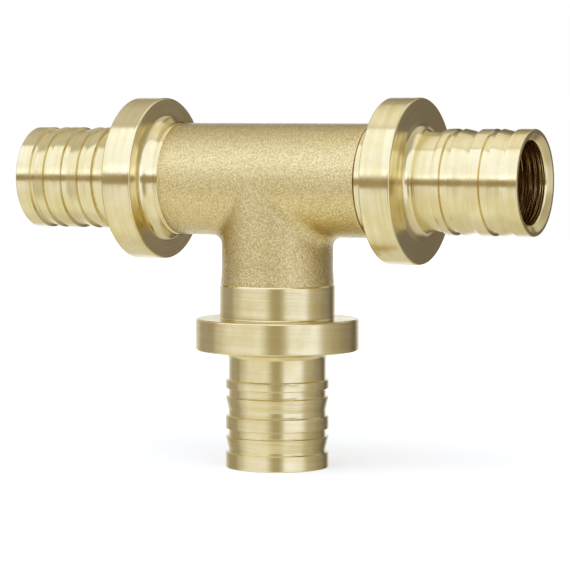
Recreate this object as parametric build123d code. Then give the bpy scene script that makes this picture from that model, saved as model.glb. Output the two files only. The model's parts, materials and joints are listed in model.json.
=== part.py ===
"""Equal pipe tee with ribbed spigots, forged and turned from one piece of brass.

The run lies along X and the branch hangs down -Z. The origin is where the axes
of the run and the branch cross. Sizes are in millimetres, angles in degrees.
"""
import os

from build123d import *

# Waterways: one through the run, one up the branch, each with a flared mouth
bore_radius = 6.8
mouth_flare = 1.2
mouth_depth = 0.8

# Ribbed spigot, the same on all three arms, measured outwards from its collar
root_radius = 8.2
rib_height = 0.5
plain_length = 4.88
rib_shoulder = 0.12
first_land = 1.34
second_land = 2.03
land_runout = 0.12
barb_taper = 2.15
gap_before_first_barb = 1.29
gap_before_second_land = 0.96
gap_before_second_barb = 1.17
gap_before_end_land = 0.42
end_land = 2.57
end_rounding = 0.2
spigot_fillet = 1.2

# Collar that stops the sleeve
collar_radius = 13.75
collar_thickness = 5.4
collar_rounding = 0.35

# Turned neck between the collar and the forged body
neck_radius = 9.7
neck_fillet = 0.7
neck_bevel = 0.12
run_neck_length = 2.85
branch_neck_length = 5.6

# Forged body, left as it came out of the dies
run_body_radius = 9.5
run_body_half_length = 18.1
branch_body_radius = 9.4
branch_body_length = 17.7
branch_flare_length = 2.4
branch_flare_rounding = 6.0
body_fillet = 2.5


def rib_steps():
    """List the spigot's outline as (step along the arm, radius after the step)."""
    crest = root_radius + rib_height
    return [
        (plain_length, root_radius),
        # first land, square on the collar's side
        (rib_shoulder, crest),
        (first_land, crest),
        (land_runout, root_radius),
        # first barb, sharp on the collar's side and tapered towards the end
        (gap_before_first_barb, root_radius),
        (rib_shoulder, crest),
        (barb_taper, root_radius),
        # second land
        (gap_before_second_land, root_radius),
        (rib_shoulder, crest),
        (second_land, crest),
        (land_runout, root_radius),
        # second barb
        (gap_before_second_barb, root_radius),
        (rib_shoulder, crest),
        (barb_taper, root_radius),
        # end land, whose outer edge is rounded
        (gap_before_end_land, root_radius),
        (rib_shoulder, crest),
    ]


def arm_corners(neck_start, neck_length):
    """List half an arm's section as (radius, distance along the arm, rounding).

    The neck starts where the forged body ends, neck_start from the run's centre.
    """
    inner_face = neck_start + neck_length
    outer_face = inner_face + collar_thickness
    corners = [
        (0, neck_start, 0),
        (neck_radius - neck_bevel, neck_start, 0),
        (neck_radius, neck_start + neck_bevel, 0),
        (neck_radius, inner_face, neck_fillet),
        (collar_radius, inner_face, collar_rounding),
        (collar_radius, outer_face, collar_rounding),
        (root_radius, outer_face, spigot_fillet),
    ]
    distance = outer_face
    for step, radius in rib_steps():
        distance += step
        corners.append((radius, distance, 0))
    crest = corners[-1][0]
    corners.append((crest, distance + end_land, end_rounding))
    corners.append((0, distance + end_land, 0))
    return corners


def revolved(corners):
    """Revolve (radius, distance, rounding) corners about Z into a solid."""
    points = [(radius, distance) for radius, distance, _ in corners]
    roundings = [rounding for _, _, rounding in corners]
    with BuildPart() as solid:
        with BuildSketch(Plane.XZ):
            with BuildLine():
                FilletPolyline(*points, radius=roundings, close=True)
            make_face()
        revolve(axis=Axis.Z)
    return solid.part


def forged_body():
    """Make the plain run and branch, blended where they meet."""
    run = Cylinder(run_body_radius, 2 * run_body_half_length, rotation=(0, 90, 0))
    branch = along_branch * revolved([
        (0, 0, 0),
        (branch_body_radius, 0, 0),
        (branch_body_radius, branch_body_length - branch_flare_length, branch_flare_rounding),
        (neck_radius - neck_bevel, branch_body_length, 0),
        (0, branch_body_length, 0),
    ])
    body = run + branch
    meeting = body.edges().filter_by(GeomType.BSPLINE)
    return fillet(meeting, body_fillet)


def bore(reach):
    """Make the space in one arm, from the run's centre out through its mouth."""
    drilled = Cylinder(bore_radius, reach, align=(Align.CENTER, Align.CENTER, Align.MIN))
    mouth = Cone(
        bore_radius,
        bore_radius + mouth_flare,
        mouth_depth,
        align=(Align.CENTER, Align.CENTER, Align.MAX),
    )
    return drilled + Pos(0, 0, reach) * mouth


along_run = Rot(0, 90, 0)
against_run = Rot(0, -90, 0)
along_branch = Rot(180, 0, 0)

run_arm = arm_corners(run_body_half_length, run_neck_length)
branch_arm = arm_corners(branch_body_length, branch_neck_length)
run_reach = run_arm[-1][1]
branch_reach = branch_arm[-1][1]

tee = forged_body()
for direction, corners in (
    (along_run, run_arm),
    (against_run, run_arm),
    (along_branch, branch_arm),
):
    tee += direction * revolved(corners)
for direction, reach in (
    (along_run, run_reach),
    (against_run, run_reach),
    (along_branch, branch_reach),
):
    tee -= direction * bore(reach)

tee.label = "tee_body"
os.makedirs("parts", exist_ok=True)
export_step(tee, "parts/tee_body.step")
print(f"tee: reach {run_reach:.2f} and {branch_reach:.2f}, volume {tee.volume:.0f}")
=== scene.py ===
"""Brass tee for plastic pipe: a forged body, three turned and ribbed ends, a drilled waterway.

The tee is one piece of metal, so it is built as one closed mesh. The forged skin comes from
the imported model, the ends are turned from their outlines, and the waterway is drilled last.
"""

import json
import logging
import math
from collections.abc import Callable, Sequence
from dataclasses import dataclass
from enum import Enum

import bpy
from mathutils import Matrix, Vector

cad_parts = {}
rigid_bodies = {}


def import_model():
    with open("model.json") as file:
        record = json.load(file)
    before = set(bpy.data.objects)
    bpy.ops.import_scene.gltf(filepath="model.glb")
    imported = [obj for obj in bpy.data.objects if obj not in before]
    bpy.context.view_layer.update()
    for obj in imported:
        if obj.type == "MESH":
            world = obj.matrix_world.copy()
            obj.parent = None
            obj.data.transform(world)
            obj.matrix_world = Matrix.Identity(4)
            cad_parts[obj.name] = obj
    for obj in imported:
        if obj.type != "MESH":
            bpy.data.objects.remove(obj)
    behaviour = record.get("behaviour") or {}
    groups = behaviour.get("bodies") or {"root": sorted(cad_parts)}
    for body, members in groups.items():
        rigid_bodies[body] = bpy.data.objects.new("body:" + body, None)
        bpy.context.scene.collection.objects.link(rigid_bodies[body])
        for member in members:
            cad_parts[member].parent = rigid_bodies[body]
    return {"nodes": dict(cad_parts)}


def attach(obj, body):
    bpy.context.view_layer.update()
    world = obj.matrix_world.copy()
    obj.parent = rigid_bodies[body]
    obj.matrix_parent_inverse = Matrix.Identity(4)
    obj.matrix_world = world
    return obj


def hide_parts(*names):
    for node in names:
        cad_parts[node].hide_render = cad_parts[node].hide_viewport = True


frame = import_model()

MM = 0.001
MERGE_DISTANCE = 0.0005 * MM
CUT_TOLERANCE = 0.001 * MM
BEVEL_LIMIT = 0.49
EDGE_STEPS = 2
MIX_FIRST, MIX_SECOND, MIX_RESULT = 6, 7, 2
NODE = "tee_body"
BODY = "root"
IMAGE_WIDTH = 570

Colour = tuple[float, float, float]
log = logging.getLogger("brass_tee")


class Axis(Enum):
    """The line that a surface was turned or drilled along."""

    RUN = (1.0, 0.0, 0.0)
    BRANCH = (0.0, 0.0, 1.0)


class Arm(Enum):
    """The arms of the tee, each with its turn from +Z in degrees about X, Y and Z."""

    RIGHT = (0.0, 90.0, 0.0)
    LEFT = (0.0, -90.0, 0.0)
    BRANCH = (180.0, 0.0, 0.0)


class Face(Enum):
    """The finishes of the tee, in the order of its material slots."""

    FORGED = 0
    TURNED_RUN = 1
    TURNED_BRANCH = 2
    # The two darkest slots hold painted shade: the bores, and on the run also the relief groove.
    DRILLED_RUN = 3
    DRILLED_BRANCH = 4


@dataclass(frozen=True)
class Corner:
    """A corner of a turned outline, in millimetres along the axis and out from it."""

    along: float
    radius: float
    rounding: float = 0.0
    steps: int = 5


def leave_selection() -> None:
    """Go to object mode with nothing selected."""
    if bpy.context.object is not None and bpy.context.object.mode != "OBJECT":
        bpy.ops.object.mode_set(mode="OBJECT")
    bpy.ops.object.select_all(action="DESELECT")


def take(piece: bpy.types.Object) -> None:
    """Select one object and make it active.

    Args:
        piece: The object.
    """
    leave_selection()
    piece.select_set(True)
    bpy.context.view_layer.objects.active = piece


def apply_modifier(piece: bpy.types.Object, kind: str, **settings: object) -> None:
    """Add one modifier, set it and apply it.

    Args:
        piece: The mesh object that gets it.
        kind: The modifier's type, such as "BOOLEAN".
        **settings: Its values by name.
    """
    take(piece)
    bpy.ops.object.modifier_add(type=kind)
    modifier = piece.modifiers[-1]
    for name, value in settings.items():
        setattr(modifier, name, value)
    bpy.ops.object.modifier_apply(modifier=modifier.name)


def select_faces(piece: bpy.types.Object, wanted: Callable[[Vector, Vector], bool]) -> None:
    """Select the faces that lie where they are wanted, and go to edit mode.

    Args:
        piece: The mesh object.
        wanted: Says yes or no from a face's centre, in millimetres, and its normal.
    """
    take(piece)
    bpy.ops.object.mode_set(mode="EDIT")
    bpy.ops.mesh.select_mode(type="FACE")
    bpy.ops.mesh.select_all(action="DESELECT")
    bpy.ops.object.mode_set(mode="OBJECT")
    for face in piece.data.polygons:
        face.select = wanted(face.center / MM, face.normal)
    bpy.ops.object.mode_set(mode="EDIT")


def paint(piece: bpy.types.Object, finish: Callable[[Vector], Face]) -> None:
    """Give each face the slot of its finish, chosen from the face's centre in millimetres."""
    for face in piece.data.polygons:
        face.material_index = finish(face.center / MM).value


def turned_solid(name: str, corners: Sequence[Corner], sides: int) -> bpy.types.Object:
    """Turn a closed solid round Z from an outline that starts and ends on the axis.

    Args:
        name: The object's name.
        corners: The outline, in order along it.
        sides: Facets round the axis.

    Returns:
        The mesh object, with its origin at the world's.
    """
    leave_selection()
    bpy.ops.mesh.primitive_plane_add(size=MM)
    piece = bpy.context.object
    piece.name = name
    bpy.ops.object.mode_set(mode="EDIT")
    bpy.ops.mesh.select_mode(type="VERT")
    bpy.ops.mesh.select_all(action="SELECT")
    bpy.ops.mesh.merge(type="CENTER")
    places = [Vector((c.radius, 0.0, c.along)) * MM for c in corners]
    bpy.ops.transform.translate(value=places[0])
    for here, following in zip(places, places[1:]):
        bpy.ops.mesh.extrude_vertices_move(TRANSFORM_OT_translate={"value": following - here})
    for before, corner, after in zip(corners, corners[1:], corners[2:]):
        if corner.rounding > 0:
            round_corner(piece, before, corner, after)
    bpy.ops.mesh.select_all(action="SELECT")
    bpy.ops.mesh.spin(
        steps=sides,
        angle=math.tau,
        center=(0.0, 0.0, 0.0),
        axis=(0.0, 0.0, 1.0),
        use_auto_merge=True,
    )
    bpy.ops.mesh.select_all(action="SELECT")
    bpy.ops.mesh.remove_doubles(threshold=MERGE_DISTANCE)
    bpy.ops.mesh.normals_make_consistent(inside=False)
    bpy.ops.object.mode_set(mode="OBJECT")
    return piece


def round_corner(piece: bpy.types.Object, before: Corner, corner: Corner, after: Corner) -> None:
    """Bevel one corner of an outline to its rounding.

    Args:
        piece: The outline, in edit mode.
        before: The corner before it.
        corner: The corner to round.
        after: The corner after it.
    """
    into = Vector((corner.radius - before.radius, corner.along - before.along))
    out = Vector((after.radius - corner.radius, after.along - corner.along))
    turn = into.angle(out)
    reach = corner.rounding * math.tan(turn / 2)
    limit = BEVEL_LIMIT * min(into.length, out.length)
    place = Vector((corner.radius, 0.0, corner.along)) * MM
    bpy.ops.mesh.select_all(action="DESELECT")
    bpy.ops.object.mode_set(mode="OBJECT")
    nearest = min(piece.data.vertices, key=lambda vertex: (vertex.co - place).length)
    nearest.select = True
    bpy.ops.object.mode_set(mode="EDIT")
    bpy.ops.mesh.select_mode(type="VERT")
    bpy.ops.mesh.bevel(
        offset_type="OFFSET",
        offset=min(reach, limit) * MM,
        segments=corner.steps,
        affect="VERTICES",
    )


def hollow(along: float, radius: float, reach: float, rise: float, steps: int = 9) -> list[Corner]:
    """Corners of the hollow where a barrel runs out into a collar's face.

    Args:
        along: Where the collar's face is.
        radius: The barrel's radius.
        reach: How far along the barrel the hollow starts, below zero on its near side.
        rise: How far up the face it ends.
        steps: Facets in it.

    Returns:
        The corners, from the barrel to the face.
    """
    angles = [math.pi / 2 * step / steps for step in range(steps + 1)]
    return [
        Corner(along + reach * (1 - math.sin(angle)), radius + rise * (1 - math.cos(angle)))
        for angle in angles
    ]


@dataclass
class PressEnd:
    """One ribbed end that a pipe is pressed over, with its stop collar and neck, in millimetres."""

    neck_start: float
    neck_length: float
    neck_radius: float = 9.7
    neck_step: float = 9.58
    neck_hollow_reach: float = 2.3
    neck_hollow_rise: float = 1.2
    neck_bevel: float = 0.12
    neck_rounding: float = 0.1
    body_overlap: float = 0.05
    core_start: float = 1.5
    core_radius: float = 8.4
    collar_radius: float = 13.75
    collar_thickness: float = 5.4
    collar_rounding: float = 0.35
    root_radius: float = 8.2
    rib_height: float = 0.5
    rib_edge: float = 0.05
    spigot_hollow_reach: float = 1.5
    spigot_hollow_rise: float = 2.0
    spigot_length: float = 19.8
    end_rounding: float = 0.2
    sides: int = 144

    @property
    def collar_start(self) -> float:
        """Distance of the collar's inner face from the centre of the tee."""
        return self.neck_start + self.neck_length

    @property
    def collar_end(self) -> float:
        """Distance of the collar's outer face from the centre of the tee."""
        return self.collar_start + self.collar_thickness

    @property
    def reach(self) -> float:
        """Distance of the end's mouth from the centre of the tee."""
        return self.collar_end + self.spigot_length

    def ribs(self) -> list[Corner]:
        """Corners of the lands and barbs, from the collar outwards.

        Returns:
            The corners, each with the small bevel that the tool left.
        """
        root = self.root_radius
        crest = root + self.rib_height
        shape = (
            (4.88, root),
            (5.0, crest),
            (6.34, crest),
            (6.46, root),
            (7.75, root),
            (7.87, crest),
            (10.02, root),
            (10.98, root),
            (11.1, crest),
            (13.13, crest),
            (13.25, root),
            (14.42, root),
            (14.54, crest),
            (16.69, root),
            (17.11, root),
            (17.23, crest),
        )
        return [Corner(self.collar_end + d, r, self.rib_edge, EDGE_STEPS) for d, r in shape]

    def outline(self) -> list[Corner]:
        """The whole outline, from the core inside the body to the middle of the mouth.

        Returns:
            The corners in order.
        """
        step = self.neck_start - self.body_overlap
        return [
            Corner(self.core_start, 0.0),
            Corner(self.core_start, self.core_radius),
            Corner(step, self.core_radius),
            Corner(step, self.neck_step),
            Corner(step + self.neck_bevel, self.neck_radius, self.neck_rounding, EDGE_STEPS),
            *hollow(
                self.collar_start,
                self.neck_radius,
                -self.neck_hollow_reach,
                self.neck_hollow_rise,
            ),
            Corner(self.collar_start, self.collar_radius, self.collar_rounding),
            Corner(self.collar_end, self.collar_radius, self.collar_rounding),
            *reversed(
                hollow(
                    self.collar_end,
                    self.root_radius,
                    self.spigot_hollow_reach,
                    self.spigot_hollow_rise,
                )
            ),
            *self.ribs(),
            Corner(self.reach, self.root_radius + self.rib_height, self.end_rounding),
            Corner(self.reach, 0.0),
        ]

    def build(self, name: str, arm: Arm) -> bpy.types.Object:
        """Turn the end and point it along its arm.

        Args:
            name: The object's name.
            arm: The arm that it ends.

        Returns:
            The solid end, in place.
        """
        piece = turned_solid(name, self.outline(), self.sides)
        aim(piece, arm)
        return piece


@dataclass
class ReliefGroove:
    """The narrow groove where a neck was parted from the forged body, in millimetres."""

    start: float
    width: float = 0.32
    floor_radius: float = 9.25
    open_radius: float = 10.5
    sides: int = 144

    def cutter(self, arm: Arm) -> bpy.types.Object:
        """Make the ring that cuts it.

        Args:
            arm: The arm that it goes round.

        Returns:
            The closed ring, in place.
        """
        end = self.start + self.width
        ring = [
            Corner(self.start, self.floor_radius),
            Corner(self.start, self.open_radius),
            Corner(end, self.open_radius),
            Corner(end, self.floor_radius),
            Corner(self.start, self.floor_radius),
        ]
        piece = turned_solid("groove_cutter", ring, self.sides)
        aim(piece, arm)
        return piece


def aim(piece: bpy.types.Object, arm: Arm) -> None:
    """Turn a piece from +Z to an arm and keep the turn in its mesh.

    Args:
        piece: The piece.
        arm: The arm that it points along.
    """
    take(piece)
    piece.rotation_euler = [math.radians(angle) for angle in arm.value]
    bpy.ops.object.transform_apply(location=True, rotation=True, scale=True)


def copy_of(piece: bpy.types.Object, name: str) -> bpy.types.Object:
    """Copy a piece with a mesh of its own.

    Args:
        piece: The piece to copy.
        name: The copy's name.

    Returns:
        The copy.
    """
    twin = bpy.data.objects.new(name, piece.data.copy())
    bpy.context.scene.collection.objects.link(twin)
    return twin


@dataclass
class ForgedBody:
    """The forged and shot-blasted middle of the tee, in millimetres."""

    run_cut: float = 18.0
    branch_cut: float = 17.6
    tail: float = 0.9
    tail_taper: float = 0.965
    inside_radius: float = 7.4
    skin_step: float = 0.28
    skin_passes: int = 16
    skin_smoothing: float = 0.5
    wave_size: float = 3.2
    wave_height: float = 0.03
    face_slack: float = 0.001
    face_tilt: float = 0.99

    def inside(self, centre: Vector) -> bool:
        """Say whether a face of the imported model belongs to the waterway.

        Args:
            centre: The face's centre, in millimetres.

        Returns:
            True if it lies inside the wall of either bore.
        """
        near_run = math.hypot(centre.y, centre.z) < self.inside_radius
        near_branch = centre.z < 0 and math.hypot(centre.x, centre.y) < self.inside_radius
        return near_run or near_branch

    def trim(self, piece: bpy.types.Object, along: Vector, distance: float) -> None:
        """Cut an arm off, close the cut and draw its face out as a short tail.

        Args:
            piece: The body.
            along: The arm's direction.
            distance: Where it is cut, from the centre.
        """
        select_faces(piece, lambda centre, normal: True)
        bpy.ops.mesh.bisect(
            plane_co=along * distance * MM,
            plane_no=along,
            use_fill=True,
            clear_outer=True,
            threshold=CUT_TOLERANCE,
        )
        bpy.ops.object.mode_set(mode="OBJECT")
        select_faces(
            piece,
            lambda centre, normal: abs(centre.dot(along) - distance) < self.face_slack
            and abs(normal.dot(along)) > self.face_tilt,
        )
        middle = along * (distance + self.tail) * MM
        bpy.ops.mesh.extrude_region_move(
            TRANSFORM_OT_translate={"value": along * self.tail * MM}
        )
        bpy.ops.transform.resize(value=(self.tail_taper,) * 3, center_override=middle)
        bpy.ops.object.mode_set(mode="OBJECT")

    def build(self) -> bpy.types.Object:
        """Take the body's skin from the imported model, mesh it evenly and make it slightly wavy.

        Returns:
            A closed solid with no waterway in it.
        """
        piece = copy_of(frame["nodes"][NODE], "forged_body")
        piece.data.materials.clear()
        take(piece)
        bpy.ops.object.mode_set(mode="EDIT")
        bpy.ops.mesh.select_all(action="SELECT")
        bpy.ops.mesh.remove_doubles(threshold=CUT_TOLERANCE)
        bpy.ops.object.mode_set(mode="OBJECT")
        select_faces(piece, lambda centre, normal: self.inside(centre))
        bpy.ops.mesh.delete(type="FACE")
        bpy.ops.object.mode_set(mode="OBJECT")
        self.trim(piece, Vector((1.0, 0.0, 0.0)), self.run_cut)
        self.trim(piece, Vector((-1.0, 0.0, 0.0)), self.run_cut)
        self.trim(piece, Vector((0.0, 0.0, -1.0)), self.branch_cut)
        apply_modifier(piece, "REMESH", mode="VOXEL", voxel_size=self.skin_step * MM)
        apply_modifier(
            piece, "SMOOTH", factor=self.skin_smoothing, iterations=self.skin_passes
        )
        waves = bpy.data.textures.new("forging_waves", "CLOUDS")
        waves.noise_scale = self.wave_size * MM
        apply_modifier(
            piece,
            "DISPLACE",
            texture=waves,
            texture_coords="LOCAL",
            mid_level=0.5,
            strength=self.wave_height * MM,
        )
        return piece


@dataclass
class Waterway:
    """The drilled bores and their flared mouths, in millimetres."""

    bore_radius: float = 6.8
    mouth_flare: float = 1.2
    mouth_depth: float = 0.8
    mouth_edge: float = 0.5
    overshoot: float = 1.0
    branch_start: float = 0.3
    wall_margin: float = 0.02
    sides: int = 144

    def mouth(self, reach: float) -> list[Corner]:
        """Corners of one mouth's cutter, from the bore to outside the metal.

        Args:
            reach: Distance of the mouth from the centre of the tee.

        Returns:
            The corners, ending on the axis.
        """
        wide = self.bore_radius + self.mouth_flare * (1 + self.overshoot / self.mouth_depth)
        return [
            Corner(reach - self.mouth_depth, self.bore_radius, self.mouth_edge),
            Corner(reach + self.overshoot, wide),
            Corner(reach + self.overshoot, 0.0),
        ]

    def run_cutter(self, reach: float) -> bpy.types.Object:
        """Make the cutter that goes through both ends of the run.

        Args:
            reach: Distance of each mouth from the centre of the tee.

        Returns:
            The cutter, in place.
        """
        far = self.mouth(reach)
        near = [Corner(-c.along, c.radius, c.rounding, c.steps) for c in reversed(far)]
        piece = turned_solid("run_cutter", [*near, *far], self.sides)
        aim(piece, Arm.RIGHT)
        return piece

    def branch_cutter(self, reach: float) -> bpy.types.Object:
        """Make the cutter that goes up the branch into the run.

        Args:
            reach: Distance of the mouth from the centre of the tee.

        Returns:
            The cutter, in place.
        """
        start = [Corner(self.branch_start, 0.0), Corner(self.branch_start, self.bore_radius)]
        piece = turned_solid("branch_cutter", [*start, *self.mouth(reach)], self.sides)
        aim(piece, Arm.BRANCH)
        return piece

    def drilled(self, centre: Vector, axis: Axis) -> bool:
        """Say whether a cutter's face makes bore, and not a flared mouth.

        Args:
            centre: The face's centre, in millimetres.
            axis: The cutter's axis.

        Returns:
            True if it lies on the wall of the bore.
        """
        along = Vector(axis.value)
        away = (centre - along * centre.dot(along)).length
        return away < self.bore_radius + self.wall_margin


class Bench:
    """A node tree with short calls that add nodes and join them."""

    def __init__(self, tree: bpy.types.NodeTree) -> None:
        """Keep the tree to work on."""
        self.tree = tree

    def node(self, kind: str, **settings: object) -> bpy.types.Node:
        """Add a node.

        Args:
            kind: The node's type, such as "ShaderNodeMath".
            **settings: Its properties by name.

        Returns:
            The new node.
        """
        made = self.tree.nodes.new(kind)
        for name, value in settings.items():
            setattr(made, name, value)
        return made

    def feed(self, target: bpy.types.NodeSocket, value: object) -> None:
        """Join an output to a socket, or set the socket to a plain value.

        Args:
            target: The input socket.
            value: An output socket or a value.
        """
        if isinstance(value, bpy.types.NodeSocket):
            self.tree.links.new(value, target)
        else:
            target.default_value = value

    def maths(self, operation: str, *values: object) -> bpy.types.NodeSocket:
        """Add a Math node.

        Args:
            operation: What it does.
            *values: Up to three sockets or numbers.

        Returns:
            Its result.
        """
        made = self.node("ShaderNodeMath", operation=operation)
        for socket, value in zip(made.inputs, values):
            self.feed(socket, value)
        return made.outputs[0]

    def vector(self, operation: str, *values: object) -> bpy.types.Node:
        """Add a Vector Math node.

        Args:
            operation: What it does.
            *values: Up to two sockets or vectors.

        Returns:
            The node.
        """
        made = self.node("ShaderNodeVectorMath", operation=operation)
        for socket, value in zip(made.inputs, values):
            self.feed(socket, value)
        return made

    def noise(
        self, place: object, scale: object, detail: float, roughness: float
    ) -> bpy.types.NodeSocket:
        """Add a noise and return its value.

        Args:
            place: Where it is read.
            scale: Its scale.
            detail: Its finer layers.
            roughness: How strong they are.

        Returns:
            The noise's value, about 0.5 in the middle.
        """
        made = self.node("ShaderNodeTexNoise")
        self.feed(made.inputs["Vector"], place)
        self.feed(made.inputs["Scale"], scale)
        self.feed(made.inputs["Detail"], detail)
        self.feed(made.inputs["Roughness"], roughness)
        return made.outputs[0]

    def spread(
        self, value: object, low: float, high: float, to_low: object, to_high: object
    ) -> bpy.types.NodeSocket:
        """Add a smooth Map Range.

        Args:
            value: What is mapped.
            low: Where the change starts.
            high: Where it ends.
            to_low: The result at the start.
            to_high: The result at the end.

        Returns:
            The mapped value.
        """
        made = self.node("ShaderNodeMapRange", interpolation_type="SMOOTHSTEP")
        for socket, item in zip(made.inputs, (value, low, high, to_low, to_high)):
            self.feed(socket, item)
        return made.outputs[0]

    def blend(self, share: object, first: object, second: object) -> bpy.types.NodeSocket:
        """Mix two colours.

        Args:
            share: How much of the second, from 0 to 1.
            first: The first colour.
            second: The second colour.

        Returns:
            The mixed colour.
        """
        made = self.node("ShaderNodeMix", data_type="RGBA")
        self.feed(made.inputs["Factor"], share)
        self.feed(made.inputs[MIX_FIRST], first)
        self.feed(made.inputs[MIX_SECOND], second)
        return made.outputs[MIX_RESULT]

    def ramp(self, value: object, stops: Sequence[tuple[float, Colour]]) -> bpy.types.NodeSocket:
        """Add a colour ramp that eases between its stops.

        Args:
            value: What it is read by, from 0 to 1.
            stops: Places and colours, in order.

        Returns:
            The ramp's colour.
        """
        made = self.node("ShaderNodeValToRGB")
        band = made.color_ramp
        band.interpolation = "EASE"
        while len(band.elements) > 1:
            band.elements.remove(band.elements[-1])
        band.elements[0].position = stops[0][0]
        band.elements[0].color = (*stops[0][1], 1.0)
        for place, colour in stops[1:]:
            band.elements.new(place).color = (*colour, 1.0)
        self.feed(made.inputs[0], value)
        return made.outputs[0]


def new_group(
    name: str, takes: Sequence[tuple[str, str]], gives: Sequence[tuple[str, str]]
) -> Bench:
    """Make an empty shader node group with named sockets.

    Args:
        name: The group's name.
        takes: Names and kinds of its inputs.
        gives: Names and kinds of its outputs.

    Returns:
        A bench on the group's tree.
    """
    tree = bpy.data.node_groups.new(name, "ShaderNodeTree")
    for label, kind in takes:
        tree.interface.new_socket(name=label, in_out="INPUT", socket_type=f"NodeSocket{kind}")
    for label, kind in gives:
        tree.interface.new_socket(name=label, in_out="OUTPUT", socket_type=f"NodeSocket{kind}")
    return Bench(tree)


class SharedEffects:
    """The effects that several finishes use, each built once as a node group."""

    def __init__(self) -> None:
        """Build the three groups."""
        self.tool_marks = self.build_tool_marks()
        self.shot_grain = self.build_shot_grain()
        self.tarnish = self.build_tarnish()

    @staticmethod
    def build_tool_marks() -> bpy.types.NodeTree:
        """Rings that a cutting tool leaves, along the axis and across faces.

        Returns:
            A group that gives the rings' height and a broader tone.
        """
        bench = new_group(
            "tool_marks",
            (("Position", "Vector"), ("Axis", "Vector"), ("Fine", "Float"), ("Broad", "Float")),
            (("Height", "Float"), ("Tone", "Float")),
        )
        face_pitch = 1.37
        waver = 0.6
        broad_offset = 31.0
        broad_share = 2.0
        layers, layer_strength = 2.0, 0.55
        given = bench.node("NodeGroupInput")
        result = bench.node("NodeGroupOutput")
        along = bench.vector("DOT_PRODUCT", given.outputs["Position"], given.outputs["Axis"])
        scaled = bench.vector("SCALE", given.outputs["Axis"])
        bench.feed(scaled.inputs["Scale"], along.outputs["Value"])
        out = bench.vector("SUBTRACT", given.outputs["Position"], scaled.outputs[0])
        radius = bench.vector("LENGTH", out.outputs[0]).outputs["Value"]
        around = bench.vector("NORMALIZE", out.outputs[0])
        path = bench.maths("MULTIPLY_ADD", radius, face_pitch, along.outputs["Value"])
        wander = bench.node("ShaderNodeVectorMath", operation="SCALE")
        bench.feed(wander.inputs[0], around.outputs[0])
        bench.feed(wander.inputs["Scale"], waver)
        heights = []
        for label, lift in (("Fine", 0.0), ("Broad", broad_offset)):
            reach = bench.maths("MULTIPLY_ADD", path, given.outputs[label], lift)
            step = bench.node("ShaderNodeCombineXYZ")
            bench.feed(step.inputs[0], reach)
            bench.feed(step.inputs[1], reach)
            place = bench.vector("ADD", step.outputs[0], wander.outputs[0])
            heights.append(bench.noise(place.outputs[0], 1.0, layers, layer_strength))
        total = bench.maths("MULTIPLY_ADD", heights[1], broad_share, heights[0])
        bench.feed(result.inputs["Height"], total)
        bench.feed(result.inputs["Tone"], heights[1])
        return bench.tree

    @staticmethod
    def build_shot_grain() -> bpy.types.NodeTree:
        """Small dents of a shot-blasted skin.

        Returns:
            A group that gives the dents' height and a mask of the pits between them.
        """
        bench = new_group(
            "shot_grain",
            (("Position", "Vector"), ("Density", "Float")),
            (("Height", "Float"), ("Pit", "Float")),
        )
        speck_density = 1.15
        speck_height = 1.2
        cell_share = 0.35
        layers, layer_strength = 2.0, 0.65
        deepest, shallowest = 0.52, 0.86
        given = bench.node("NodeGroupInput")
        result = bench.node("NodeGroupOutput")
        place = given.outputs["Position"]
        density = given.outputs["Density"]
        dents = bench.node("ShaderNodeTexVoronoi")
        bench.feed(dents.inputs["Vector"], place)
        bench.feed(dents.inputs["Scale"], density)
        finer = bench.maths("MULTIPLY", density, speck_density)
        specks = bench.noise(place, finer, layers, layer_strength)
        height = bench.maths("MULTIPLY_ADD", specks, speck_height, dents.outputs["Distance"])
        shade = bench.node("ShaderNodeSeparateXYZ")
        bench.feed(shade.inputs[0], dents.outputs["Color"])
        depth = bench.maths("MULTIPLY_ADD", shade.outputs[0], cell_share, specks)
        bench.feed(result.inputs["Height"], height)
        bench.feed(result.inputs["Pit"], bench.spread(depth, deepest, shallowest, 1.0, 0.0))
        return bench.tree

    @staticmethod
    def build_tarnish() -> bpy.types.NodeTree:
        """Slow changes of colour and polish over handled brass.

        Returns:
            A group that gives the colour and how rough the metal is.
        """
        bench = new_group(
            "tarnish",
            (
                ("Position", "Vector"),
                ("Clean", "Color"),
                ("Dull", "Color"),
                ("Patch", "Float"),
                ("Tone", "Float"),
                ("Weight", "Float"),
                ("Smooth", "Float"),
                ("Rough", "Float"),
            ),
            (("Colour", "Color"), ("Roughness", "Float")),
        )
        layers, layer_strength = 3.0, 0.6
        colour_range = (0.39, 0.63)
        polish_range = (0.31, 0.69)
        given = bench.node("NodeGroupInput")
        result = bench.node("NodeGroupOutput")
        clouds = bench.noise(
            given.outputs["Position"], given.outputs["Patch"], layers, layer_strength
        )
        past = bench.maths("SUBTRACT", given.outputs["Tone"], clouds)
        mixed = bench.maths("MULTIPLY_ADD", past, given.outputs["Weight"], clouds)
        share = bench.spread(mixed, *colour_range, 0.0, 1.0)
        bench.feed(
            result.inputs["Colour"],
            bench.blend(share, given.outputs["Clean"], given.outputs["Dull"]),
        )
        bench.feed(
            result.inputs["Roughness"],
            bench.spread(mixed, *polish_range, given.outputs["Smooth"], given.outputs["Rough"]),
        )
        return bench.tree


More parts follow.
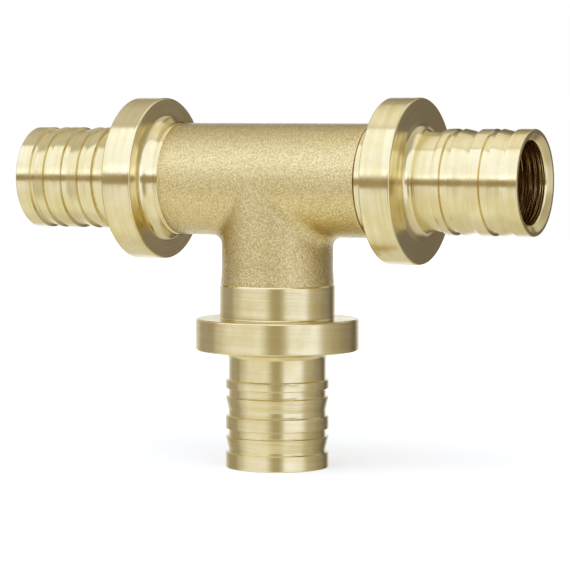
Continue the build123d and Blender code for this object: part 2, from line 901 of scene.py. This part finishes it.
@dataclass(frozen=True)
class BrassFinish:
    """What all the finishes of the tee share."""

    name: str
    clean: Colour
    dull: Colour
    smooth: float
    rough: float
    patch: float
    bump: float
    tone_weight: float = 0.375

    def start(self) -> tuple[bpy.types.Material, Bench, bpy.types.Node, bpy.types.NodeSocket]:
        """Make the material, its metal shader and its coordinates.

        Returns:
            The material, a bench on it, the shader and the position socket.
        """
        material = bpy.data.materials.new(self.name)
        material.use_nodes = True
        bench = Bench(material.node_tree)
        shader = next(n for n in bench.tree.nodes if n.type == "BSDF_PRINCIPLED")
        shader.inputs["Metallic"].default_value = 1.0
        place = bench.node("ShaderNodeTexCoord").outputs["Object"]
        return material, bench, shader, place

    def use(self, bench: Bench, group: bpy.types.NodeTree, **values: object) -> bpy.types.Node:
        """Place a node group.

        Args:
            bench: The material's bench.
            group: The group.
            **values: What its inputs are fed, by name.

        Returns:
            The placed group.
        """
        placed = bench.node("ShaderNodeGroup", node_tree=group)
        for name, value in values.items():
            bench.feed(placed.inputs[name], value)
        return placed

    def colour(
        self,
        effects: SharedEffects,
        bench: Bench,
        shader: bpy.types.Node,
        place: bpy.types.NodeSocket,
        tone: bpy.types.NodeSocket,
    ) -> None:
        """Feed the shader's colour and roughness through the tarnish group.

        Args:
            effects: The shared groups.
            bench: The material's bench.
            shader: Its metal shader.
            place: Its position socket.
            tone: A mask that shifts the patches.
        """
        placed = self.use(
            bench,
            effects.tarnish,
            Position=place,
            Clean=(*self.clean, 1.0),
            Dull=(*self.dull, 1.0),
            Patch=self.patch,
            Tone=tone,
            Weight=self.tone_weight,
            Smooth=self.smooth,
            Rough=self.rough,
        )
        bench.feed(shader.inputs["Base Color"], placed.outputs["Colour"])
        bench.feed(shader.inputs["Roughness"], placed.outputs["Roughness"])

    def emboss(self, bench: Bench, shader: bpy.types.Node, height: bpy.types.NodeSocket) -> None:
        """Feed the shader's normal with a bump.

        Args:
            bench: The material's bench.
            shader: Its metal shader.
            height: The height of the surface.
        """
        bump = bench.node("ShaderNodeBump")
        bench.feed(bump.inputs["Strength"], 1.0)
        bench.feed(bump.inputs["Distance"], self.bump * MM)
        bench.feed(bump.inputs["Height"], height)
        bench.feed(shader.inputs["Normal"], bump.outputs["Normal"])


@dataclass(frozen=True)
class CutFinish(BrassFinish):
    """Brass cut by a turning tool or a drill, with rings across the cut."""

    axis: Axis = Axis.RUN
    fine: float = 5200.0
    broad: float = 900.0

    def material(self, effects: SharedEffects) -> bpy.types.Material:
        """Build the material.

        Args:
            effects: The shared groups.

        Returns:
            The material.
        """
        material, bench, shader, place = self.start()
        marks = self.use(
            bench,
            effects.tool_marks,
            Position=place,
            Axis=self.axis.value,
            Fine=self.fine,
            Broad=self.broad,
        )
        self.colour(effects, bench, shader, place, marks.outputs["Tone"])
        self.emboss(bench, shader, marks.outputs["Height"])
        return material


@dataclass(frozen=True)
class BlastedFinish(BrassFinish):
    """Forged brass, dulled and dented by shot."""

    density: float = 6500.0

    def material(self, effects: SharedEffects) -> bpy.types.Material:
        """Build the material.

        Args:
            effects: The shared groups.

        Returns:
            The material.
        """
        material, bench, shader, place = self.start()
        grain = self.use(bench, effects.shot_grain, Position=place, Density=self.density)
        self.colour(effects, bench, shader, place, grain.outputs["Pit"])
        self.emboss(bench, shader, grain.outputs["Height"])
        return material


@dataclass
class FinishShop:
    """The tee's finishes, one for each slot."""

    forged: BlastedFinish = BlastedFinish(
        name="forged_brass",
        clean=(0.825, 0.70, 0.39),
        dull=(0.61, 0.49, 0.235),
        smooth=0.10,
        rough=0.17,
        patch=260.0,
        bump=0.038,
        tone_weight=0.75,
    )
    turned: Colour = (0.835, 0.75, 0.48)
    turned_dull: Colour = (0.76, 0.65, 0.355)
    # The drilled colours are darker than the turned brass as painted shade, for the deep bore and
    # the relief groove.
    drilled: Colour = (0.60, 0.44, 0.20)
    drilled_painted_shade_dull: Colour = (0.40, 0.24, 0.10)

    def cut(self, name: str, axis: Axis) -> CutFinish:
        """Describe the turned finish.

        Args:
            name: The material's name.
            axis: The axis it was turned on.

        Returns:
            The finish.
        """
        return CutFinish(
            name=name,
            clean=self.turned,
            dull=self.turned_dull,
            smooth=0.12,
            rough=0.22,
            patch=140.0,
            bump=0.010,
            axis=axis,
        )

    def bore(self, name: str, axis: Axis) -> CutFinish:
        """Describe the drilled finish, whose darker colours are painted shade for the deep bore.

        Args:
            name: The material's name.
            axis: The axis it was drilled along.

        Returns:
            The finish.
        """
        return CutFinish(
            name=name,
            clean=self.drilled,
            dull=self.drilled_painted_shade_dull,
            smooth=0.2,
            rough=0.32,
            patch=300.0,
            bump=0.09,
            axis=axis,
            fine=2800.0,
            broad=1300.0,
        )

    def materials(self) -> list[bpy.types.Material]:
        """Build all finishes in the order of the slots.

        Returns:
            One material for each member of Face.
        """
        effects = SharedEffects()
        finishes = {
            Face.FORGED: self.forged,
            Face.TURNED_RUN: self.cut("turned_brass_run", Axis.RUN),
            Face.TURNED_BRANCH: self.cut("turned_brass_branch", Axis.BRANCH),
            Face.DRILLED_RUN: self.bore("drilled_brass_painted_shade_run", Axis.RUN),
            Face.DRILLED_BRANCH: self.bore("drilled_brass_painted_shade_branch", Axis.BRANCH),
        }
        return [finishes[face].material(effects) for face in Face]


@dataclass
class BrassTee:
    """The whole tee as one closed piece."""

    right_end: PressEnd
    left_end: PressEnd
    branch_end: PressEnd
    groove: ReliefGroove
    body: ForgedBody
    waterway: Waterway
    shop: FinishShop
    smooth_angle: float = 30.0

    def join(self, piece: bpy.types.Object, other: bpy.types.Object, how: str) -> None:
        """Combine a piece with another solid and remove the other.

        Args:
            piece: The piece that stays.
            other: The solid that is added or cut away.
            how: "UNION" or "DIFFERENCE".
        """
        apply_modifier(piece, "BOOLEAN", operation=how, solver="EXACT", object=other)
        bpy.data.objects.remove(other)

    def build(self) -> bpy.types.Object:
        """Make the parts, join them, drill them and dress them.

        Returns:
            The finished piece, riding on its body.
        """
        materials = self.shop.materials()
        tee = self.body.build()
        tee.name = "tee_brass"
        log.info("forged body: %d faces", len(tee.data.polygons))
        right = self.right_end.build("right_end", Arm.RIGHT)
        left = self.left_end.build("left_end", Arm.LEFT)
        branch = self.branch_end.build("branch_end", Arm.BRANCH)
        run_cut = self.waterway.run_cutter(self.right_end.reach)
        branch_cut = self.waterway.branch_cutter(self.branch_end.reach)
        groove_cut = self.groove.cutter(Arm.RIGHT)
        for piece in (tee, right, left, branch, run_cut, branch_cut, groove_cut):
            for material in materials:
                piece.data.materials.append(material)
        paint(tee, lambda centre: Face.FORGED)
        paint(right, lambda centre: Face.TURNED_RUN)
        paint(left, lambda centre: Face.TURNED_RUN)
        paint(branch, lambda centre: Face.TURNED_BRANCH)
        # The relief groove takes the darker bore finish: painted shade along the groove.
        paint(groove_cut, lambda centre: Face.DRILLED_RUN)
        paint(run_cut, lambda centre: self.bore_or_mouth(centre, Axis.RUN))
        paint(branch_cut, lambda centre: self.bore_or_mouth(centre, Axis.BRANCH))
        for end in (right, left, branch):
            self.join(tee, end, "UNION")
        log.info("ends joined: %d faces", len(tee.data.polygons))
        for cutter in (run_cut, branch_cut, groove_cut):
            self.join(tee, cutter, "DIFFERENCE")
        log.info("waterway drilled: %d faces", len(tee.data.polygons))
        self.finish_surface(tee)
        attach(tee, BODY)
        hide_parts(NODE)
        return tee

    def bore_or_mouth(self, centre: Vector, axis: Axis) -> Face:
        """Choose the finish that a cutter's face leaves.

        Args:
            centre: The face's centre, in millimetres.
            axis: The cutter's axis.

        Returns:
            The finish.
        """
        if self.waterway.drilled(centre, axis):
            return Face.DRILLED_RUN if axis is Axis.RUN else Face.DRILLED_BRANCH
        return Face.TURNED_RUN if axis is Axis.RUN else Face.TURNED_BRANCH

    def finish_surface(self, tee: bpy.types.Object) -> None:
        """Merge stray doubles, shade the surface smooth and let wide faces set its normals.

        Args:
            tee: The whole piece.
        """
        take(tee)
        bpy.ops.object.mode_set(mode="EDIT")
        bpy.ops.mesh.select_all(action="SELECT")
        bpy.ops.mesh.remove_doubles(threshold=MERGE_DISTANCE)
        bpy.ops.mesh.normals_make_consistent(inside=False)
        bpy.ops.object.mode_set(mode="OBJECT")
        bpy.ops.object.shade_smooth_by_angle(angle=math.radians(self.smooth_angle))
        apply_modifier(tee, "WEIGHTED_NORMAL", mode="FACE_AREA", keep_sharp=True)


@dataclass
class Panel:
    """A soft light: its middle, its size in metres and how bright its face is."""

    name: str
    place: tuple[float, float, float]
    width: float
    height: float
    brightness: float
    colour: Colour

    def build(self, target: Vector) -> bpy.types.Object:
        """Hang the panel and turn its face to a point.

        Args:
            target: The point that it faces.

        Returns:
            The light.
        """
        lamp = bpy.data.lights.new(self.name, "AREA")
        lamp.shape = "RECTANGLE"
        lamp.size = self.width
        lamp.size_y = self.height
        lamp.energy = self.brightness * math.pi * self.width * self.height
        lamp.color = self.colour
        light = bpy.data.objects.new(self.name, lamp)
        bpy.context.scene.collection.objects.link(light)
        light.location = self.place
        light.rotation_euler = (target - Vector(self.place)).to_track_quat("-Z", "Y").to_euler()
        light.visible_camera = False
        return light


@dataclass
class Studio:
    """Camera, soft lights, pale floor and surroundings.

    The camera's angles are in degrees, its distance in millimetres, its shifts in pixels and
    its nearest and farthest view in metres. The floor's level is in millimetres, and its size,
    the flag and the glow's distances are in metres. The room's heights are those of a
    direction of length one.
    """

    camera_yaw: float = 25.877
    camera_height: float = 3.537
    camera_roll: float = 0.113
    camera_distance: float = 454.067
    pixels_per_mm: float = 5.948
    shift_right: float = -7.277
    shift_up: float = -105.344
    sensor_width: float = 36.0
    nearest: float = 0.01
    farthest: float = 20.0
    floor_level: float = -48.5
    floor_size: float = 1.6
    floor_colour: Colour = (0.8, 0.8, 0.8)
    fill_light: float = 0.5
    flag_distance: float = 0.1
    flag_low: float = -0.014
    flag_high: float = 0.0101
    flag_width: float = 0.62
    flag_colour: Colour = (0.36, 0.28, 0.145)
    back_share: float = 0.44
    side_share: float = 0.235
    lean_start: float = 0.1
    lean_heights: tuple[float, float] = (0.25, 0.4)
    above_heights: tuple[float, float] = (0.16, 0.34)
    below_heights: tuple[float, float] = (-0.38, -0.62)
    glow_under: float = 0.43
    glow_away: float = 0.8
    glow_near: float = 0.04
    glow_far: float = 0.2

    def camera(self) -> bpy.types.Object:
        """Place the camera where the photograph was taken from.

        Returns:
            The camera.
        """
        yaw = math.radians(self.camera_yaw)
        height = math.radians(self.camera_height)
        roll = math.radians(self.camera_roll)
        back = Vector(
            (
                math.sin(yaw) * math.cos(height),
                -math.cos(yaw) * math.cos(height),
                math.sin(height),
            )
        )
        level = Vector((math.cos(yaw), math.sin(yaw), 0.0))
        upright = back.cross(level)
        right = math.cos(roll) * level + math.sin(roll) * upright
        up = math.cos(roll) * upright - math.sin(roll) * level
        side = right * (self.shift_right / self.pixels_per_mm)
        rise = up * (self.shift_up / self.pixels_per_mm)
        place = (self.camera_distance * back - side + rise) * MM
        turn = Matrix((right, up, back)).transposed().to_4x4()
        data = bpy.data.cameras.new("camera")
        data.sensor_width = self.sensor_width
        span = self.camera_distance * self.pixels_per_mm
        data.lens = self.sensor_width * span / IMAGE_WIDTH
        data.clip_start = self.nearest
        data.clip_end = self.farthest
        camera = bpy.data.objects.new("camera", data)
        bpy.context.scene.collection.objects.link(camera)
        camera.matrix_world = Matrix.Translation(place) @ turn
        bpy.context.scene.camera = camera
        return camera

    def lights(self) -> list[bpy.types.Object]:
        """Hang the soft lights, one in front and above, and a small one overhead.

        Returns:
            The lights.
        """
        key = Panel(
            name="key_panel",
            place=(0.0, -0.273, 0.252),
            width=1.5,
            height=0.50,
            brightness=0.72,
            colour=(0.88, 1.0, 1.34),
        )
        top = Panel(
            name="top_panel",
            place=(0.0275, 0.0385, 0.15),
            width=0.165,
            height=0.143,
            brightness=0.34,
            colour=(0.98, 1.0, 1.0),
        )
        below_top = Vector((top.place[0], top.place[1], 0.0))
        return [key.build(Vector((0.0, 0.0, 0.0))), top.build(below_top)]

    def surroundings(self) -> None:
        """Set the world: white behind the tee, and a plain room in its reflections."""
        world = bpy.data.worlds.new("room")
        bpy.context.scene.world = world
        world.use_nodes = True
        bench = Bench(world.node_tree)
        bench.tree.nodes.clear()
        direction = bench.node("ShaderNodeTexCoord").outputs["Generated"]
        parts = bench.node("ShaderNodeSeparateXYZ")
        bench.feed(parts.inputs[0], direction)
        x, y, z = parts.outputs
        angle = bench.maths("ARCTAN2", x, bench.maths("MULTIPLY", y, -1.0))
        turn = bench.maths("MULTIPLY_ADD", angle, 1 / math.tau, 0.5)
        level = bench.ramp(turn, self.level_stops())
        back = bench.maths("MULTIPLY_ADD", y, self.back_share, 0.5)
        beside = bench.maths("MULTIPLY_ADD", x, self.side_share, back)
        lean = bench.maths("MAXIMUM", bench.maths("ADD", x, self.lean_start), 0.0)
        high = bench.spread(z, *self.lean_heights, 0.0, 1.0)
        depth = bench.maths("SUBTRACT", beside, bench.maths("MULTIPLY", lean, high))
        above = bench.ramp(depth, self.above_stops())
        below = bench.ramp(depth, self.below_stops())
        upward = bench.spread(z, *self.above_heights, 0.0, 1.0)
        downward = bench.spread(z, *self.below_heights, 0.0, 1.0)
        room = bench.blend(downward, bench.blend(upward, level, above), below)
        rays = bench.node("ShaderNodeLightPath")
        reflected = bench.node("ShaderNodeBackground")
        bench.feed(reflected.inputs["Color"], room)
        plain = bench.node("ShaderNodeBackground")
        bench.feed(plain.inputs["Color"], (1.0, 1.0, 1.0, 1.0))
        seen = self.straight(bench, rays)
        bench.feed(plain.inputs["Strength"], bench.spread(seen, 0.0, 1.0, self.fill_light, 1.0))
        mixed = bench.node("ShaderNodeMixShader")
        bench.feed(mixed.inputs[0], rays.outputs["Is Glossy Ray"])
        bench.feed(mixed.inputs[1], plain.outputs[0])
        bench.feed(mixed.inputs[2], reflected.outputs[0])
        output = bench.node("ShaderNodeOutputWorld")
        bench.feed(output.inputs["Surface"], mixed.outputs[0])

    @staticmethod
    def straight(bench: Bench, rays: bpy.types.Node) -> bpy.types.NodeSocket:
        """Pick out the rays that see a surface directly or through something clear.

        Args:
            bench: The bench to work on.
            rays: Its Light Path node.

        Returns:
            1 for those rays and 0 for the others.
        """
        return bench.maths(
            "MAXIMUM", rays.outputs["Is Camera Ray"], rays.outputs["Is Transmission Ray"]
        )

    @staticmethod
    def level_stops() -> list[tuple[float, Colour]]:
        """Colours of the room at eye level, by degrees round from the front.

        Returns:
            Places from 0 to 1, from the back round to the back, and the colour at each.
        """
        rows = (
            (-180.0, (0.62, 0.60, 0.56)),
            (-170.0, (0.90, 0.90, 0.88)),
            (-154.0, (1.00, 1.00, 1.00)),
            (-138.0, (0.90, 0.90, 0.88)),
            (-124.0, (0.66, 0.63, 0.56)),
            (-110.0, (0.43, 0.39, 0.32)),
            (-80.0, (0.41, 0.36, 0.28)),
            (-66.0, (0.66, 0.62, 0.54)),
            (-44.0, (0.93, 0.93, 0.94)),
            (0.0, (0.96, 0.96, 0.98)),
            (8.0, (0.74, 0.71, 0.62)),
            (16.0, (0.47, 0.425, 0.295)),
            (29.0, (0.45, 0.39, 0.26)),
            (36.0, (0.60, 0.57, 0.48)),
            (44.0, (1.08, 1.12, 1.32)),
            (80.0, (1.08, 1.12, 1.32)),
            (98.0, (0.58, 0.54, 0.44)),
            (114.0, (0.47, 0.43, 0.34)),
            (135.0, (0.34, 0.31, 0.25)),
            (149.0, (0.285, 0.255, 0.215)),
            (158.0, (0.18, 0.155, 0.13)),
            (170.0, (0.175, 0.15, 0.125)),
            (180.0, (0.62, 0.60, 0.56)),
        )
        return [((degrees + 180.0) / 360.0, colour) for degrees, colour in rows]

    @staticmethod
    def above_stops() -> list[tuple[float, Colour]]:
        """Colours of the room overhead, from the front at 0 to the back at 1.

        Returns:
            The places and the colour at each.
        """
        return [
            (0.0, (0.52, 0.50, 0.44)),
            (0.3, (0.60, 0.58, 0.50)),
            (0.42, (0.68, 0.65, 0.57)),
            (0.56, (0.65, 0.61, 0.52)),
            (0.64, (0.57, 0.52, 0.43)),
            (0.73, (0.43, 0.38, 0.30)),
            (0.8, (0.21, 0.175, 0.13)),
            (0.92, (0.09, 0.075, 0.05)),
        ]

    @staticmethod
    def below_stops() -> list[tuple[float, Colour]]:
        """Colours of the floor in reflections, from the front at 0 to the back at 1.

        Returns:
            The places and the colour at each.
        """
        return [
            (0.0, (0.92, 0.91, 0.80)),
            (0.28, (0.92, 0.91, 0.80)),
            (0.5, (0.76, 0.73, 0.62)),
            (0.9, (0.68, 0.64, 0.54)),
        ]

    def floor(self) -> bpy.types.Object:
        """Lay the pale floor under the branch.

        Returns:
            The floor, which isn't part of the tee.
        """
        leave_selection()
        bpy.ops.mesh.primitive_plane_add(
            size=self.floor_size, location=(0.0, 0.0, self.floor_level * MM)
        )
        floor = bpy.context.object
        floor.name = "floor"
        bpy.ops.object.transform_apply(location=True, rotation=True, scale=True)
        floor.data.materials.append(self.floor_material())
        return floor

    def floor_material(self) -> bpy.types.Material:
        """A pale floor that shows white, with the tee's soft shadow on it.

        Returns:
            The material.
        """
        material = bpy.data.materials.new("pale_floor")
        material.use_nodes = True
        bench = Bench(material.node_tree)
        bench.tree.nodes.clear()
        rays = bench.node("ShaderNodeLightPath")
        paint_layer = bench.node("ShaderNodeBsdfDiffuse")
        bench.feed(paint_layer.inputs["Color"], (*self.floor_colour, 1.0))
        glow = bench.node("ShaderNodeEmission")
        bench.feed(glow.inputs["Color"], (1.0, 1.0, 1.0, 1.0))
        seen = self.straight(bench, rays)
        place = bench.node("ShaderNodeTexCoord").outputs["Object"]
        away = bench.vector("LENGTH", place).outputs["Value"]
        level = bench.spread(
            away, self.glow_near, self.glow_far, self.glow_under, self.glow_away
        )
        bench.feed(glow.inputs["Strength"], bench.maths("MULTIPLY", seen, level))
        both = bench.node("ShaderNodeAddShader")
        bench.feed(both.inputs[0], paint_layer.outputs[0])
        bench.feed(both.inputs[1], glow.outputs[0])
        clear = bench.node("ShaderNodeBsdfTransparent")
        under = bench.node("ShaderNodeNewGeometry").outputs["Backfacing"]
        mixed = bench.node("ShaderNodeMixShader")
        bench.feed(mixed.inputs[0], bench.maths("MAXIMUM", rays.outputs["Is Glossy Ray"], under))
        bench.feed(mixed.inputs[1], both.outputs[0])
        bench.feed(mixed.inputs[2], clear.outputs[0])
        output = bench.node("ShaderNodeOutputMaterial")
        bench.feed(output.inputs["Surface"], mixed.outputs[0])
        return material

    def flag(self) -> bpy.types.Object:
        """Stand a long dark flag in front, which only reflections show.

        Returns:
            The flag, which isn't part of the tee.
        """
        leave_selection()
        bpy.ops.mesh.primitive_plane_add(size=1.0, rotation=(math.pi / 2, 0.0, 0.0))
        flag = bpy.context.object
        flag.name = "dark_flag"
        flag.scale = (self.flag_width, self.flag_high - self.flag_low, 1.0)
        middle = (self.flag_low + self.flag_high) / 2
        flag.location = (0.0, -self.flag_distance, middle)
        bpy.ops.object.transform_apply(location=True, rotation=True, scale=True)
        material = bpy.data.materials.new("dark_flag")
        material.use_nodes = True
        bench = Bench(material.node_tree)
        bench.tree.nodes.clear()
        glow = bench.node("ShaderNodeEmission")
        bench.feed(glow.inputs["Color"], (*self.flag_colour, 1.0))
        output = bench.node("ShaderNodeOutputMaterial")
        bench.feed(output.inputs["Surface"], glow.outputs[0])
        flag.data.materials.append(material)
        flag.visible_camera = False
        flag.visible_diffuse = False
        flag.visible_shadow = False
        flag.visible_transmission = False
        return flag

    def build(self) -> list[bpy.types.Object]:
        """Set the stage round the tee.

        Returns:
            The camera, the lights, the floor and the flag.
        """
        camera = self.camera()
        lights = self.lights()
        self.surroundings()
        bpy.context.scene.view_settings.view_transform = "Standard"
        return [camera, *lights, self.floor(), self.flag()]


def main() -> None:
    """Build the tee and its studio, and report each piece."""
    logging.basicConfig(level=logging.INFO, format="%(name)s: %(message)s")
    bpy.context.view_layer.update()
    tee = BrassTee(
        right_end=PressEnd(neck_start=18.1, neck_length=2.85),
        left_end=PressEnd(neck_start=18.1, neck_length=2.85, neck_step=9.46, neck_bevel=0.9),
        branch_end=PressEnd(
            neck_start=17.7,
            neck_length=5.6,
            neck_step=9.56,
            neck_bevel=0.2,
            neck_hollow_reach=0.25,
            neck_hollow_rise=0.2,
        ),
        groove=ReliefGroove(start=18.05),
        body=ForgedBody(),
        waterway=Waterway(),
        shop=FinishShop(),
    ).build()
    triangles = sum(len(face.vertices) - 2 for face in tee.data.polygons)
    log.info("%s: %d triangles", tee.name, triangles)
    for item in Studio().build():
        log.info("studio: %s", item.name)


if __name__ == "__main__":
    main()
